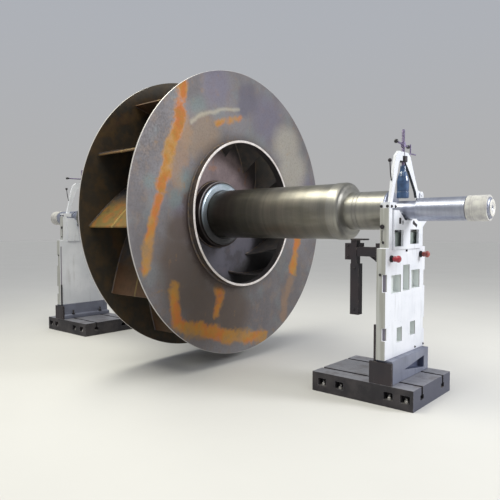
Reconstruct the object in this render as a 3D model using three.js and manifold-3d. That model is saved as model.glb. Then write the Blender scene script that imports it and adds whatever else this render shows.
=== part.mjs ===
// A large double-inlet fan impeller on its shaft, carried by the two roller stands of a balancing machine.
// Millimetres, +Z up, floor at z = 0. X runs along the shaft, with x = 0 halfway between the two stands.
import * as THREE from "three";
import Module from "manifold-3d";

const wasm = await Module();
wasm.setup();
const { Manifold, Mesh } = wasm;

// Seat gap left between pieces that touch on the real object
const GAP = 0.3;

// Shaft and stands
const AXIS_Z = 1680;
const STAND_X = 2585;
const NECK_R = 180;
const JOURNAL_R = 80;
const STUB_R = 102;

// Impeller
const IMPELLER_R = 1575;
const IMPELLER_X = 240;
const IMPELLER_WIDTH = 808;
const DISC_T = 16;
const PLATE_T = 20;
const PLATE_R = 1240;
const EYE_R = 815;
const RING_WALL = 26;
const RING_PROUD = 75;
const HUB_R = 384;
const HUB_HALF = 136;
const BARREL_R = 272;

// Blades
const BLADE_COUNT = 12;
const BLADE_T = 14;
const BLADE_TIP_R = 1465;
const BLADE_TIP_DEG = -6;
const BLADE_STEPS = 10;
const HEEL_R_AT_DISC = 850;
const HEEL_R_AT_PLATE = 715;

const group = new THREE.Group();

// Turn a three.js geometry into a closed solid.
function solid(geometry) {
  const flat = geometry.index ? geometry.toNonIndexed() : geometry;
  const points = flat.getAttribute("position").array;
  const mesh = new Mesh({
    numProp: 3,
    vertProperties: new Float32Array(points),
    triVerts: Uint32Array.from({ length: points.length / 3 }, (_, i) => i),
  });
  mesh.merge();
  return new Manifold(mesh);
}

// A block between two corners.
function block([x0, x1], [y0, y1], [z0, z1]) {
  const box = new THREE.BoxGeometry(x1 - x0, y1 - y0, z1 - z0);
  box.translate((x0 + x1) / 2, (y0 + y1) / 2, (z0 + z1) / 2);
  return solid(box);
}

// A body of revolution about a line parallel to X; profile points are [x, radius].
function turned(profile, y = 0, z = AXIS_Z, segments = 56) {
  const points = profile.map(([x, r]) => new THREE.Vector2(r, x));
  const lathe = new THREE.LatheGeometry(points, segments);
  lathe.rotateZ(-Math.PI / 2);
  lathe.translate(0, y, z);
  const made = solid(lathe);
  if (made.volume() > 0) return made;
  lathe.index.array.reverse();
  return solid(lathe);
}

// A body of revolution about a vertical line; profile points are [z, radius].
function turnedUp(profile, x, y, segments = 32) {
  const points = profile.map(([z, r]) => new THREE.Vector2(r, z));
  const lathe = new THREE.LatheGeometry(points, segments);
  lathe.rotateX(Math.PI / 2);
  lathe.translate(x, y, 0);
  const made = solid(lathe);
  if (made.volume() > 0) return made;
  lathe.index.array.reverse();
  return solid(lathe);
}

// A solid rod along X.
const rod = ([x0, x1], r, y, z, segments = 32) =>
  turned([[x0, 0], [x0, r], [x1, r], [x1, 0]], y, z, segments);

// A ring along X with a bore.
const ring = ([x0, x1], inner, outer, y, z, segments = 96) =>
  turned([[x0, inner], [x0, outer], [x1, outer], [x1, inner], [x0, inner]], y, z, segments);

// A flat shape drawn as [y, z] points, given a thickness along X.
function slab(outline, [x0, x1], holes = []) {
  const shape = new THREE.Shape(outline.map(([y, z]) => new THREE.Vector2(y, z)));
  for (const hole of holes) shape.holes.push(new THREE.Path(hole.map(([y, z]) => new THREE.Vector2(y, z))));
  const made = new THREE.ExtrudeGeometry(shape, { depth: x1 - x0, bevelEnabled: false });
  made.rotateX(Math.PI / 2);
  made.rotateZ(Math.PI / 2);
  made.translate(x0, 0, 0);
  return solid(made);
}

// A flat shape drawn as [x, z] points, given a thickness along Y.
function sideSlab(outline, [y0, y1]) {
  const shape = new THREE.Shape(outline.map(([x, z]) => new THREE.Vector2(x, z)));
  const made = new THREE.ExtrudeGeometry(shape, { depth: y1 - y0, bevelEnabled: false });
  made.rotateX(Math.PI / 2);
  made.translate(0, y1, 0);
  return solid(made);
}

const joined = (solids) => solids.reduce((sum, next) => sum.add(next));
const cutBy = (body, cuts) => cuts.reduce((left, cut) => left.subtract(cut), body);

// The same solid on the other side of x = 0.
const mirrored = (body) => body.mirror([1, 0, 0]);

// Put a finished solid into the group under its name.
function place(name, body, colour) {
  const made = body.getMesh();
  const geometry = new THREE.BufferGeometry();
  geometry.setAttribute("position", new THREE.Float32BufferAttribute(made.vertProperties, 3));
  geometry.setIndex(Array.from(made.triVerts));
  const flat = geometry.toNonIndexed();
  flat.computeVertexNormals();
  const material = new THREE.MeshStandardMaterial({ color: colour, roughness: 0.6 });
  const mesh = new THREE.Mesh(flat, material);
  mesh.name = name;
  group.add(mesh);
}

// Colours of the painted and bare pieces
const STEEL = 0x8a868a;
const BRIGHT = 0xb9b6a8;
const WHITE = 0xe2e4e6;
const DARK = 0x2b2c30;
const BLUE = 0x3a4a72;
const GREY_BLUE = 0x7b8794;
const BEIGE = 0xa9a394;
const RED = 0x9c3038;

// Shaft: one forging, the same at both ends
const shaftHalf = [
  [1935, BARREL_R],
  [1937, 278],
  [2028, 278],
  [2046, 272],
  [2060, 255],
  [2070, 225],
  [2081, NECK_R],
  [2474, NECK_R],
  [2484, NECK_R - 10],
  [2486, JOURNAL_R],
  [2738, JOURNAL_R],
  [2742, STUB_R],
  [3160, STUB_R],
  [3162, 88],
  [3342, 88],
  [3346, 74],
  [3358, 70],
  [3358, 22],
  [3340, 14],
  [3340, 0],
];
const shaftProfile = [
  ...shaftHalf.map(([x, r]) => [-x, r]).reverse(),
  ...shaftHalf,
];
place("shaft", turned(shaftProfile), BRIGHT);

// Sleeves on the two shaft ends
const sleeve = ring([3166, 3336], 88 + 2 * GAP, 107, 0, AXIS_Z, 56);
place("near_end_sleeve", sleeve, BEIGE);
place("far_end_sleeve", mirrored(sleeve), BEIGE);

// Hub and centre plate
const hubSide = [
  [PLATE_T / 2 + 14, HUB_R],
  [HUB_HALF - 30, HUB_R],
  [HUB_HALF - 24, HUB_R - 6],
  [HUB_HALF - 24, HUB_R - 22],
  [HUB_HALF - 8, HUB_R - 26],
  [HUB_HALF, HUB_R - 44],
  [HUB_HALF, BARREL_R + 2 * GAP],
];
const hubProfile = [
  ...hubSide.map(([x, r]) => [IMPELLER_X - x, r]).reverse(),
  ...hubSide.map(([x, r]) => [IMPELLER_X + x, r]),
];
hubProfile.push(hubProfile[0]);
place("hub", turned(hubProfile), STEEL);
const plateSpan = [IMPELLER_X - PLATE_T / 2, IMPELLER_X + PLATE_T / 2];
place("centre_plate", ring(plateSpan, HUB_R + GAP, PLATE_R, 0, AXIS_Z, 96), STEEL);

// Rim discs and inlet rings, one pair on each side of the impeller
for (const [name, side] of [["near", 1], ["far", -1]]) {
  const outer = IMPELLER_X + (side * IMPELLER_WIDTH) / 2;
  const inner = outer - side * DISC_T;
  const proud = outer + side * RING_PROUD;
  const sorted = (a, b) => [Math.min(a, b), Math.max(a, b)];
  place(`${name}_disc`, ring(sorted(inner, outer), EYE_R + GAP, IMPELLER_R, 0, AXIS_Z, 96), STEEL);
  place(`${name}_inlet_ring`, ring(sorted(inner, proud), EYE_R - RING_WALL, EYE_R, 0, AXIS_Z, 96), BRIGHT);
}

// Backward-inclined blades: each is bent from one plate, slotted over the centre plate
const heelToTip = [];
let sweep = 0;
const bladeStep = (BLADE_TIP_R - 690) / BLADE_STEPS;
for (let i = 0; i <= BLADE_STEPS; i += 1) {
  const r = BLADE_TIP_R - i * bladeStep;
  const lean = THREE.MathUtils.degToRad(THREE.MathUtils.lerp(50, 32, i / BLADE_STEPS));
  if (i > 0) sweep += bladeStep / Math.tan(lean) / r;
  heelToTip.unshift([r, sweep]);
}
function bladeOutline() {
  const middle = heelToTip.map(([r, turn]) => new THREE.Vector2(-r * Math.cos(turn), r * Math.sin(turn)));
  const side = (sign) =>
    middle.map((point, i) => {
      const before = middle[Math.max(i - 1, 0)];
      const after = middle[Math.min(i + 1, middle.length - 1)];
      const along = after.clone().sub(before).normalize();
      return [point.x - (sign * along.y * BLADE_T) / 2, point.y + (sign * along.x * BLADE_T) / 2];
    });
  return [...side(1), ...side(-1).reverse()];
}
const halfInside = IMPELLER_WIDTH / 2 - DISC_T - GAP;
const bladeBlank = slab(bladeOutline(), [-halfInside, halfInside]);
const heelCut = turned(
  [
    [-halfInside - 1, 0],
    [-halfInside - 1, HEEL_R_AT_DISC],
    [0, HEEL_R_AT_PLATE],
    [halfInside + 1, HEEL_R_AT_DISC],
    [halfInside + 1, 0],
  ],
  0,
  0,
);
const plateSlot = rod([-PLATE_T / 2 - GAP, PLATE_T / 2 + GAP], PLATE_R + GAP, 0, 0, 192);
const blade = bladeBlank.subtract(heelCut).subtract(plateSlot);
for (let i = 0; i < BLADE_COUNT; i += 1) {
  const turn = BLADE_TIP_DEG + (i * 360) / BLADE_COUNT;
  const turnedBlade = blade.rotate([-turn, 0, 0]).translate([IMPELLER_X, 0, AXIS_Z]);
  place(`blade_${String(i + 1).padStart(2, "0")}`, turnedBlade, STEEL);
}

// Roller stand, drawn for the near end and mirrored for the far one
const ROLLER_R = 80;
const ROLLER_HALF_W = 30;
const AXLE_R = 20;
const ROLLER_OFFSET = (JOURNAL_R + ROLLER_R + GAP) * Math.SQRT1_2;
const ROLLER_Z = AXIS_Z - ROLLER_OFFSET;
const COLUMN_HALF_T = 43;
const COLUMN_HALF_W = 410;
const COLUMN_Z0 = 389;
const COLUMN_WALL = 22;
const SHOULDER_Z = 1345;
const HORN_HALF_W = 354;
const LEFT_HORN_Z = 1690;
const RIGHT_HORN_Z = 1600;
const NOTCH_HALF_W = 290;
const NOTCH_Z = 1330;
const FOOT_FRONT_X = 2684;
const BED_TOP = 180;
const BED_X = [1896, 2884];
const BED_HALF_W = 410;
const SLOT_Y = 230;
const past = ([a, b], extra = 1) => [a - extra, b + extra];
const across = (half) => [STAND_X - half, STAND_X + half];
const columnX = across(COLUMN_HALF_T);

// Bed with two T-slots along its top and anchor pockets in its sides
function bed() {
  const slots = [-SLOT_Y, SLOT_Y].flatMap((y) => [
    block(past(BED_X), [y - 16, y + 16], [BED_TOP - 70, BED_TOP + 1]),
    block(past(BED_X), [y - 34, y + 34], [BED_TOP - 110, BED_TOP - 69]),
  ]);
  const pockets = [2003, 2184, 2660, 2812].flatMap((x) => [
    block([x - 42, x + 42], [-BED_HALF_W - 1, -BED_HALF_W + 70], [62, 128]),
    block([x - 42, x + 42], [BED_HALF_W - 70, BED_HALF_W + 1], [62, 128]),
  ]);
  return cutBy(block(BED_X, [-BED_HALF_W, BED_HALF_W], [0, BED_TOP]), [...slots, ...pockets]);
}

// Foot casting between the bed and the column: a ledge in front of the column over a wedge-shaped recess
function foot() {
  const outline = [
    [2470, BED_TOP + GAP],
    [FOOT_FRONT_X, BED_TOP + GAP],
    [FOOT_FRONT_X, COLUMN_Z0 - GAP],
    [2534, COLUMN_Z0 - GAP],
    [2522, 240],
    [2470, 232],
  ];
  const wedge = [[-130, 272], [284, 214], [284, 322]];
  return sideSlab(outline, [-384, 384]).subtract(slab(wedge, [FOOT_FRONT_X - 60, FOOT_FRONT_X + 1]));
}

// Column with its windows, closed at the back by a wall, its edge pockets and the notch that takes the roller
// saddle between two horns; the right horn flares out to a shelf for the pivot bracket
function column() {
  const outline = [
    [-COLUMN_HALF_W, COLUMN_Z0],
    [COLUMN_HALF_W, COLUMN_Z0],
    [COLUMN_HALF_W, SHOULDER_Z],
    [HORN_HALF_W, SHOULDER_Z],
    [HORN_HALF_W, 1526],
    [448, 1586],
    [448, RIGHT_HORN_Z],
    [NOTCH_HALF_W, RIGHT_HORN_Z],
    [NOTCH_HALF_W, NOTCH_Z],
    [-NOTCH_HALF_W, NOTCH_Z],
    [-NOTCH_HALF_W, LEFT_HORN_Z],
    [-HORN_HALF_W, LEFT_HORN_Z],
    [-HORN_HALF_W, SHOULDER_Z],
    [-COLUMN_HALF_W, SHOULDER_Z],
  ];
  const windows = [
    [[-300, -110], [952, 1108]],
    [[-66, 70], [956, 1188]],
    [[108, 292], [964, 1132]],
    [[-182, -78], [510, 640]],
    [[92, 202], [532, 658]],
  ].map(([y, z]) => block([columnX[0] + COLUMN_WALL, columnX[1] + 1], y, z));
  const pocketX = [columnX[1] - 30, columnX[1] + 1];
  const pockets = [[973, 1121], [557, 663]].flatMap((z) => [
    block(pocketX, [-COLUMN_HALF_W - 1, -COLUMN_HALF_W + 26], z),
    block(pocketX, [COLUMN_HALF_W - 26, COLUMN_HALF_W + 1], z),
  ]);
  return cutBy(slab(outline, columnX), [...windows, ...pockets]);
}

// Roller saddle in the column's notch: two cheeks that slope down to the journal, joined by a base and a
// middle pillar, with two windows in the outer one
function saddle() {
  const half = NOTCH_HALF_W - 1;
  const bottom = NOTCH_Z + GAP;
  const top = 1672;
  const middle = 1587;
  const outline = [
    [-half, bottom],
    [half, bottom],
    [half, top],
    [190, top],
    [70, middle],
    [-70, middle],
    [-190, top],
    [-half, top],
  ];
  const outerCheek = [STAND_X + 36, STAND_X + 58];
  const cheeks = [[STAND_X - 58, STAND_X - 36], outerCheek].map((x) => slab(outline, x));
  const base = block(across(58), [-half, half], [bottom, 1352]);
  const pillar = block(across(58), [-38, 38], [bottom, 1440]);
  const axleHoles = [-1, 1].map((side) => rod(across(70), AXLE_R + 0.6, side * ROLLER_OFFSET, ROLLER_Z));
  const windows = [
    block(past(outerCheek), [-278, -104], [1357, 1500]),
    block(past(outerCheek), [42, 226], [1373, 1505]),
  ];
  return cutBy(joined([base, pillar, ...cheeks]), [...axleHoles, ...windows]);
}

// Support roller with its axle in one
function roller(side) {
  const profile = [
    [-57, 0],
    [-57, AXLE_R],
    [-ROLLER_HALF_W, AXLE_R],
    [-ROLLER_HALF_W, ROLLER_R],
    [ROLLER_HALF_W, ROLLER_R],
    [ROLLER_HALF_W, AXLE_R],
    [57, AXLE_R],
    [57, 0],
  ].map(([x, r]) => [STAND_X + x, r]);
  return turned(profile, side * ROLLER_OFFSET, ROLLER_Z, 32);
}

// Hold-down frame: an A-shape that swings on a pin at its right foot and rests its left foot on the column
const PIVOT = { y: 365, z: 1826, r: 16 };
const FRAME_HALF_T = 13;
const SCREW_R = 14;
const NUT_Z = [2111, 2159];
const NUT_R = 36;
function holddownFrame() {
  const outline = [
    [-276, LEFT_HORN_Z + 40],
    [-230, LEFT_HORN_Z + 40],
    [-186, 1875],
    [-108, 2091],
    [-86, NUT_Z[0] + 6],
    [16, NUT_Z[0] + 6],
    [114, 2025],
    [256, 1856],
    [276, 1802],
    [PIVOT.y, PIVOT.z - 36],
    [PIVOT.y + 27, PIVOT.z - 26],
    [PIVOT.y + 37, PIVOT.z],
    [PIVOT.y + 27, PIVOT.z + 26],
    [PIVOT.y, PIVOT.z + 37],
    [300, 1872],
    [206, 2026],
    [127, 2168],
    [74, 2198],
    [-112, 2198],
    [-167, 2153],
    [-200, 2052],
    [-226, 1947],
    [-241, 1869],
  ];
  const foot = block(columnX, [-345, -215], [LEFT_HORN_Z + GAP, LEFT_HORN_Z + 48]);
  const nut = turnedUp([[NUT_Z[0], 0], [NUT_Z[0], NUT_R], [NUT_Z[1], NUT_R], [NUT_Z[1], 0]], STAND_X, 0);
  const holeR = SCREW_R + 0.5;
  const screwHole = turnedUp([[2080, 0], [2080, holeR], [2210, holeR], [2210, 0]], STAND_X, 0);
  const pinHole = rod(across(60), PIVOT.r + 0.6, PIVOT.y, PIVOT.z);
  return cutBy(joined([slab(outline, across(FRAME_HALF_T)), foot, nut]), [screwHole, pinHole]);
}

// Pivot bracket with its pin, on the shelf of the column's right horn
function pivotBracket() {
  const base = RIGHT_HORN_Z + GAP;
  const outline = [
    [296, base],
    [446, base],
    [446, 1616],
    [PIVOT.y + 39, PIVOT.z - 12],
    [PIVOT.y + 33, PIVOT.z + 20],
    [PIVOT.y + 15, PIVOT.z + 37],
    [PIVOT.y - 15, PIVOT.z + 37],
    [PIVOT.y - 33, PIVOT.z + 20],
    [PIVOT.y - 39, PIVOT.z - 12],
    [296, 1640],
  ];
  const ears = [[STAND_X - 26, STAND_X - 15], [STAND_X + 15, STAND_X + 26]].map((x) => slab(outline, x));
  const shelf = block(columnX, [296, 446], [base, 1616]);
  const pin = rod(across(32), PIVOT.r, PIVOT.y, PIVOT.z);
  return joined([shelf, ...ears, pin]);
}

// Pressure screw: the body over the journal, its spindle and its T-handle
function pressureScrew() {
  const profile = [
    [1784, 0],
    [1784, 48],
    [1790, 54],
    [2012, 54],
    [2022, 42],
    [2026, 24],
    [2074, 24],
    [2078, SCREW_R],
    [2400, SCREW_R],
    [2400, 0],
  ];
  const handle = block([-9, 9], [-246, 176], [2256, 2274]).rotate([0, 0, 10]).translate([STAND_X, 0, 0]);
  return turnedUp(profile, STAND_X, 0).add(handle);
}

// Clamp block on the bed beside the foot, with its lever
function clampBlock() {
  const cover = block([2480, 2690], [-409, -384.5], [BED_TOP + GAP, 372]);
  return cover.add(turnedUp([[360, 0], [360, 11], [689, 11], [689, 0]], 2528, -397, 16));
}

// Adjusting knob on the column's outer face: a collar with a waisted grip
function knob(y, z) {
  const start = columnX[1] + GAP;
  const profile = [
    [0, 0],
    [0, 30],
    [14, 30],
    [14, 16],
    [22, 16],
    [28, 24],
    [40, 26],
    [50, 23],
    [56, 29],
    [68, 31],
    [82, 27],
    [90, 14],
    [92, 0],
  ];
  return turned(profile.map(([x, r]) => [start + x, r]), y, z, 24);
}

const standPieces = {
  bed: [bed(), DARK],
  foot: [foot(), GREY_BLUE],
  column: [column(), WHITE],
  saddle: [saddle(), WHITE],
  roller_left: [roller(-1), STEEL],
  roller_right: [roller(1), STEEL],
  holddown_frame: [holddownFrame(), WHITE],
  pivot_bracket: [pivotBracket(), WHITE],
  pressure_screw: [pressureScrew(), BLUE],
  clamp_block: [clampBlock(), DARK],
  knob_left: [knob(-313, 1254), RED],
  knob_right: [knob(298, 1274), RED],
};
for (const [name, [body, colour]] of Object.entries(standPieces)) {
  place(`near_${name}`, body, colour);
  place(`far_${name}`, mirrored(body), colour);
}

// Arm on the near column's inner face, with a hanging post
const postX = [2261, 2316];
const postY = [-351, -279];
const arm = joined([
  block([2503, columnX[0] - GAP], [-352, -NOTCH_HALF_W - 2], [1225, 1385]),
  block([postX[1] - 1, 2504], [-345, -285], [1268, 1351]),
  block([2201, postX[0] + 1], postY, [1235, 1383]),
  block(postX, postY, [1200, 1424]),
  block([postX[0] - 6, postX[1] + 22], postY, [746, 1201]),
  block([postX[0], 2398], [-360, -270], [1410, 1424]),
]);
place("side_arm", arm, DARK);

export default group;
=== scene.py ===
import math
import random
from functools import reduce

import bmesh
import bpy
from mathutils import Matrix, Vector


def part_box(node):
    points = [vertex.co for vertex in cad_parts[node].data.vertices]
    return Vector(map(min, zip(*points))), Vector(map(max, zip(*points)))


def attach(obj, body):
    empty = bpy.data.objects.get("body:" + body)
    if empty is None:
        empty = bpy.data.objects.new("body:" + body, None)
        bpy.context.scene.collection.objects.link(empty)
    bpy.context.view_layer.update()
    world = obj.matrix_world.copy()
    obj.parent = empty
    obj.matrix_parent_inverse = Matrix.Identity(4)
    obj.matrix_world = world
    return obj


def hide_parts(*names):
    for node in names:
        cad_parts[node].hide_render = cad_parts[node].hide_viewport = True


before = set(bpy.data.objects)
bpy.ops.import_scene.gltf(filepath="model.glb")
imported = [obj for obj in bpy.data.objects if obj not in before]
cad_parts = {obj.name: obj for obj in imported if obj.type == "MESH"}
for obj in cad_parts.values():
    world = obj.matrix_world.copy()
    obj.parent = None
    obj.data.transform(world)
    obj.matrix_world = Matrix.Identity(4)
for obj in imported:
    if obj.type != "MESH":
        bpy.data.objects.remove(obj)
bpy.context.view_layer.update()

# A double-inlet fan rotor on the two roller stands of a balancing machine.
# Metres, +Z up, floor at z = 0. X runs along the shaft, and the near stand is the one at +X.

scene = bpy.context.scene
chance = random.Random(7)


def middle(node):
    low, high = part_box(node)
    return (low + high) / 2


# Driving sizes, taken from the frame
AXIS_Z = middle("shaft").z
STAND_X = middle("near_column").x
IMPELLER_X = middle("hub").x
IMPELLER_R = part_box("near_disc")[1].z - AXIS_Z
DISC_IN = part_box("near_disc")[0].x - IMPELLER_X
DISC_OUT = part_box("near_disc")[1].x - IMPELLER_X
RING_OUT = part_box("near_inlet_ring")[1].x - IMPELLER_X
EYE_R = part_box("near_inlet_ring")[1].z - AXIS_Z
PLATE_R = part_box("centre_plate")[1].z - AXIS_Z
PLATE_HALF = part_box("centre_plate")[1].x - IMPELLER_X
HUB_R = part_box("hub")[1].z - AXIS_Z
HUB_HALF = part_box("hub")[1].x - IMPELLER_X
COLUMN_LOW, COLUMN_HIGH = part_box("near_column")
FRONT_X = COLUMN_HIGH.x
BACK_X = COLUMN_LOW.x
BED_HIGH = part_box("near_bed")[1]
FOOT_LOW, FOOT_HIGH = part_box("near_foot")
ALONG_SHAFT = Vector((1, 0, 0))
UP = Vector((0, 0, 1))

# Shaft: places along it from its middle, radii, and the gap between it and what sits on it
BARREL_END = 1.935
NECK_START = 2.081
NECK_END = 2.474
JOURNAL_START = 2.486
STUB_START = 2.742
SEAT_START = 3.162
BOSS_END = 3.358
BARREL_R = 0.272
COLLAR_R = 0.278
NECK_R = 0.180
JOURNAL_R = 0.080
STUB_R = 0.102
SEAT_R = 0.088
BORE_GAP = 0.0006

# Wheel: the thickness of the rings round the eyes
RING_WALL = 0.026

# Stands: the bed's slots, the column and its windows, the foot's recess, the frame and the screw's handle
SLOT_Y = 0.230
COLUMN_HALF_W = 0.410
HORN_HALF_W = 0.354
WINDOWS_TOP = 1.240
RECESS_BACK_X = 2.615
RECESS_HALF_W = 0.290
RECESS_FLOOR = 0.205
RECESS_TOP = 0.330
ARCH_FOOT_Z = 1.790
HANDLE_Z = 2.265
HANDLE_DEG = 10

# Blades: the same curve as in the part's source, with finer steps
BLADE_T = 0.014
BLADE_TIP_R = 1.465
BLADE_ROOT_R = 0.690
BLADE_TIP_DEG = -6
BLADE_COUNT = 12
TIP_LEAN_DEG = 50
ROOT_LEAN_DEG = 32
SWEEP_STEPS = 60
SWEEP_STEP = (BLADE_TIP_R - BLADE_ROOT_R) / SWEEP_STEPS
HEEL_R_AT_DISC = 0.850
HEEL_R_AT_PLATE = 0.715
BLADE_HALF = DISC_IN - 0.0003


# Shapes

def along(point, direction=UP):
    """The matrix that puts local +Z along a direction, at a point."""
    turn = Vector(direction).to_track_quat("Z", "Y").to_matrix().to_4x4()
    return Matrix.Translation(Vector(point)) @ turn


ON_AXIS = along((0, 0, AXIS_Z), ALONG_SHAFT)


def circle(sides):
    """Angles evenly spaced round a circle."""
    return [2 * math.pi * i / sides for i in range(sides)]


def spin(bm, profile, where, sides, closed=False):
    """Turn a profile of (along, radius) points about the local Z of a matrix."""
    rings = []
    for height, radius in profile:
        angles = circle(sides) if radius > 1e-6 else [0.0]
        points = [Vector((radius * math.cos(a), radius * math.sin(a), height)) for a in angles]
        rings.append([bm.verts.new(where @ point) for point in points])
    bands = list(zip(rings, rings[1:]))
    if closed:
        bands.append((rings[-1], rings[0]))
    for low, high in bands:
        for i in range(sides):
            j = i + 1
            corners = [low[i % len(low)], low[j % len(low)], high[j % len(high)], high[i % len(high)]]
            corners = list(dict.fromkeys(corners))
            if len(corners) > 2:
                bm.faces.new(corners)


def eased(profile, radius, closed=False):
    """The same profile with its corners rounded."""
    steps = 3
    points = [Vector(p) for p in profile]
    result = []
    for i, corner in enumerate(points):
        if not closed and i in (0, len(points) - 1):
            result.append(corner)
            continue
        before = points[i - 1] - corner
        after = points[(i + 1) % len(points)] - corner
        cut = min(radius, 0.45 * before.length, 0.45 * after.length)
        start = corner + before.normalized() * cut
        end = corner + after.normalized() * cut
        for s in range(steps + 1):
            t = s / steps
            result.append(start.lerp(corner, t).lerp(corner.lerp(end, t), t))
    return result


def turned(profile, soft, where, sides, closed=False):
    """A new mesh of one turned shape with rounded corners."""
    bm = bmesh.new()
    spin(bm, eased(profile, soft, closed), where, sides, closed)
    return bm


def half_and_mirror(half):
    """A profile that is the same on both sides of its middle, from the half beyond it."""
    return [(-x, r) for x, r in reversed(half)] + list(half)


def soften(bm, edges, width, clamp=False):
    """Round edges off by a width."""
    bmesh.ops.bevel(
        bm, geom=list(edges), offset=width, segments=2, profile=0.5, affect="EDGES", clamp_overlap=clamp
    )


def bar(bm, low, high, soft):
    """A block between two corners with softened edges."""
    size = Vector(high) - Vector(low)
    centre = (Vector(high) + Vector(low)) / 2
    made = bmesh.ops.create_cube(bm, size=1, matrix=Matrix.Translation(centre) @ Matrix.Diagonal((*size, 1)))
    edges = {edge for vert in made["verts"] for edge in vert.link_edges}
    soften(bm, edges, soft)


def plate(bm, outline, thickness, where, soft):
    """An outline of local (x, y) points, thickened along local Z, with softened edges."""
    low = [bm.verts.new(where @ Vector((x, y, 0))) for x, y in outline]
    high = [bm.verts.new(where @ Vector((x, y, thickness))) for x, y in outline]
    faces = [bm.faces.new(low[::-1]), bm.faces.new(high)]
    for i in range(len(outline)):
        j = (i + 1) % len(outline)
        faces.append(bm.faces.new([low[i], low[j], high[j], high[i]]))
    edges = {edge for face in faces for edge in face.edges}
    soften(bm, edges, soft)


def across_shaft(x):
    """The matrix whose local (x, y) is (y, z) of the model, with local Z along the shaft."""
    return Matrix(((0, 0, 1, x), (1, 0, 0, 0), (0, 1, 0, 0), (0, 0, 0, 1)))


def beside_shaft(y):
    """The matrix whose local (x, y) is (x, z) of the model, with local Z along -Y."""
    return Matrix(((1, 0, 0, 0), (0, 0, -1, y), (0, 1, 0, 0), (0, 0, 0, 1)))


def sweep(bm, path, radius, sides=6):
    """A closed tube along a path of points."""
    rings = []
    side = (path[1] - path[0]).orthogonal()
    for i, point in enumerate(path):
        ahead = (path[min(i + 1, len(path) - 1)] - path[max(i - 1, 0)]).normalized()
        side = (side - side.project(ahead)).normalized()
        other = ahead.cross(side)
        spokes = [radius * (math.cos(a) * side + math.sin(a) * other) for a in circle(sides)]
        rings.append([bm.verts.new(point + spoke) for spoke in spokes])
    for low, high in zip(rings, rings[1:]):
        for i in range(sides):
            j = (i + 1) % sides
            bm.faces.new([low[i], low[j], high[j], high[i]])
    bm.faces.new(rings[0][::-1])
    bm.faces.new(rings[-1])


def hexagon(bm, where, across, height):
    """A hexagon head or nut with a chamfered top."""
    corner = across / math.sqrt(3)
    spin(bm, [(0, 0), (0, corner), (height * 0.86, corner), (height, corner * 0.87), (height, 0)], where, 6)


def disc(bm, where, radius, height, soft, sides=28):
    """A washer, cap or short pin with rounded edges."""
    spin(bm, eased([(0, 0), (0, radius), (height, radius), (height, 0)], soft), where, sides)


def thread(bm, where, radius, length, pitch, sides):
    """A threaded rod."""
    profile = [(0, 0)]
    for i in range(int(length / pitch)):
        profile += [(i * pitch, radius * 0.9), ((i + 0.5) * pitch, radius)]
    profile += [(length, radius * 0.88), (length, 0)]
    spin(bm, profile, where, sides)


def bolt(bm, point, direction, size, stud=0.0):
    """A hexagon head on its washer, or with stud a nut on a threaded end."""
    where = along(point, direction)
    disc(bm, where, size * 1.1, size * 0.18, size * 0.05)
    head = where @ Matrix.Translation((0, 0, size * 0.18))
    hexagon(bm, head @ Matrix.Rotation(chance.uniform(0, 1), 4, "Z"), size * 1.55, size * 0.72)
    if stud:
        thread(bm, head @ Matrix.Translation((0, 0, size * 0.4)), size * 0.5, stud, size * 0.16, 16)


def socket_screw(bm, point, direction, size):
    """A cylinder-head screw with its key socket."""
    where = along(point, direction)
    head = [(0, 0), (0, 0.8), (1, 0.8), (1, 0.45), (0.5, 0.42), (0.5, 0)]
    spin(bm, eased([(size * height, size * radius) for height, radius in head], size * 0.08), where, 24)


def ball(bm, where, radius):
    """A handle ball."""
    half = 12
    arc = [math.pi * i / half for i in range(half + 1)]
    spin(bm, [(-radius * math.cos(a), max(radius * math.sin(a), 0)) for a in arc], where, 2 * half)


def dressed(node, soft):
    """A CAD node's mesh with its flat faces merged and its sharp edges rounded."""
    same_place = 0.00001
    flat = math.radians(0.5)
    corner = math.radians(25)
    bm = bmesh.new()
    bm.from_mesh(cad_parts[node].data)
    bmesh.ops.remove_doubles(bm, verts=bm.verts, dist=same_place)
    bmesh.ops.dissolve_limit(bm, angle_limit=flat, verts=bm.verts, edges=bm.edges)
    sharp = [edge for edge in bm.edges if len(edge.link_faces) == 2 and edge.calc_face_angle() > corner]
    soften(bm, sharp, soft, clamp=True)
    return bm


SHARP_ANGLE = math.radians(38)


def piece(name, bm, body, look, slot, *nodes):
    """Make a finished object from a bmesh, tied to its body and standing for the nodes that it hides. The
    slot is not used.
    """
    bmesh.ops.recalc_face_normals(bm, faces=bm.faces)
    mesh = bpy.data.meshes.new(name)
    bm.to_mesh(mesh)
    bm.free()
    mesh.materials.append(look)
    mesh.polygons.foreach_set("use_smooth", [True] * len(mesh.polygons))
    mesh.set_sharp_from_angle(angle=SHARP_ANGLE)
    made = bpy.data.objects.new(name, mesh)
    scene.collection.objects.link(made)
    made.modifiers.new("even_normals", "WEIGHTED_NORMAL").keep_sharp = True
    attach(made, body)
    if nodes:
        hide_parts(*nodes)


def pair(name, bm, body, look, slot, *nodes):
    """Make a piece of the near stand and its mirror image on the far one. Names lack near_ and far_."""
    far = bm.copy()
    bmesh.ops.scale(far, vec=(-1, 1, 1), verts=far.verts)
    bmesh.ops.reverse_faces(far, faces=far.faces)
    for end, mesh in (("near", bm), ("far", far)):
        rides_on = body if body == "stand" else f"{end}_{body}"
        stands_for = [f"{end}_{node}" for node in nodes]
        piece(f"{end}_{name}", mesh, rides_on, look, slot, *stands_for)


# Looks

def tone(red, green, blue):
    """A colour given as it shows on screen, 0 to 255, made linear."""
    def linear(value):
        value /= 255
        return value / 12.92 if value <= 0.04045 else ((value + 0.055) / 1.055) ** 2.4

    return (linear(red), linear(green), linear(blue), 1.0)


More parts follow.
